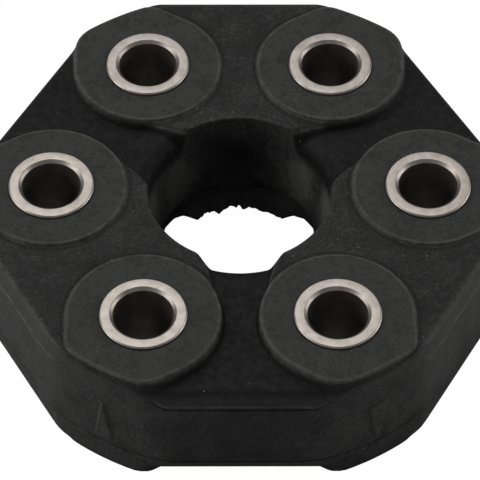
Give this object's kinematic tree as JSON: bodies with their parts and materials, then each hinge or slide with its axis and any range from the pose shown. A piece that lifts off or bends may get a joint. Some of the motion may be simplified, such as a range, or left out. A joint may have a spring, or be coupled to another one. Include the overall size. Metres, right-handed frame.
{
  "type": "disc coupling",
  "caption": "Flexible disc coupling for a propeller shaft: moulded rubber disc with steel bolt sleeves on a bolt circle, cord loops sealed inside and an open centre.",
  "frame": {"origin": "centre of the disc, on its axis and midway between the sleeves' two ends", "axes": "+Z along the shaft axis, +X through the axis of a sleeve"},
  "size_m": [0.1116, 0.1062, 0.03],
  "materials": {
    "rubber": "matte black moulded rubber",
    "sleeve_steel": "turned plain steel",
    "cord": "wound and bonded polyester cord",
    "collar_steel": "pressed plain steel"
  },
  "bodies": {
    "root": {"rubber_body": "rubber", "sleeve_1": "sleeve_steel", "sleeve_2": "sleeve_steel", "sleeve_3": "sleeve_steel", "sleeve_4": "sleeve_steel", "sleeve_5": "sleeve_steel", "sleeve_6": "sleeve_steel", "center_loop_1": "cord", "center_loop_2": "cord", "center_loop_3": "cord", "upper_loop_1": "cord", "upper_loop_2": "cord", "upper_loop_3": "cord", "lower_loop_1": "cord", "lower_loop_2": "cord", "lower_loop_3": "cord", "upper_collar_1": "collar_steel", "upper_collar_2": "collar_steel", "upper_collar_3": "collar_steel", "upper_collar_4": "collar_steel", "upper_collar_5": "collar_steel", "upper_collar_6": "collar_steel", "lower_collar_1": "collar_steel", "lower_collar_2": "collar_steel", "lower_collar_3": "collar_steel", "lower_collar_4": "collar_steel", "lower_collar_5": "collar_steel", "lower_collar_6": "collar_steel"}
  },
  "joints": []
}
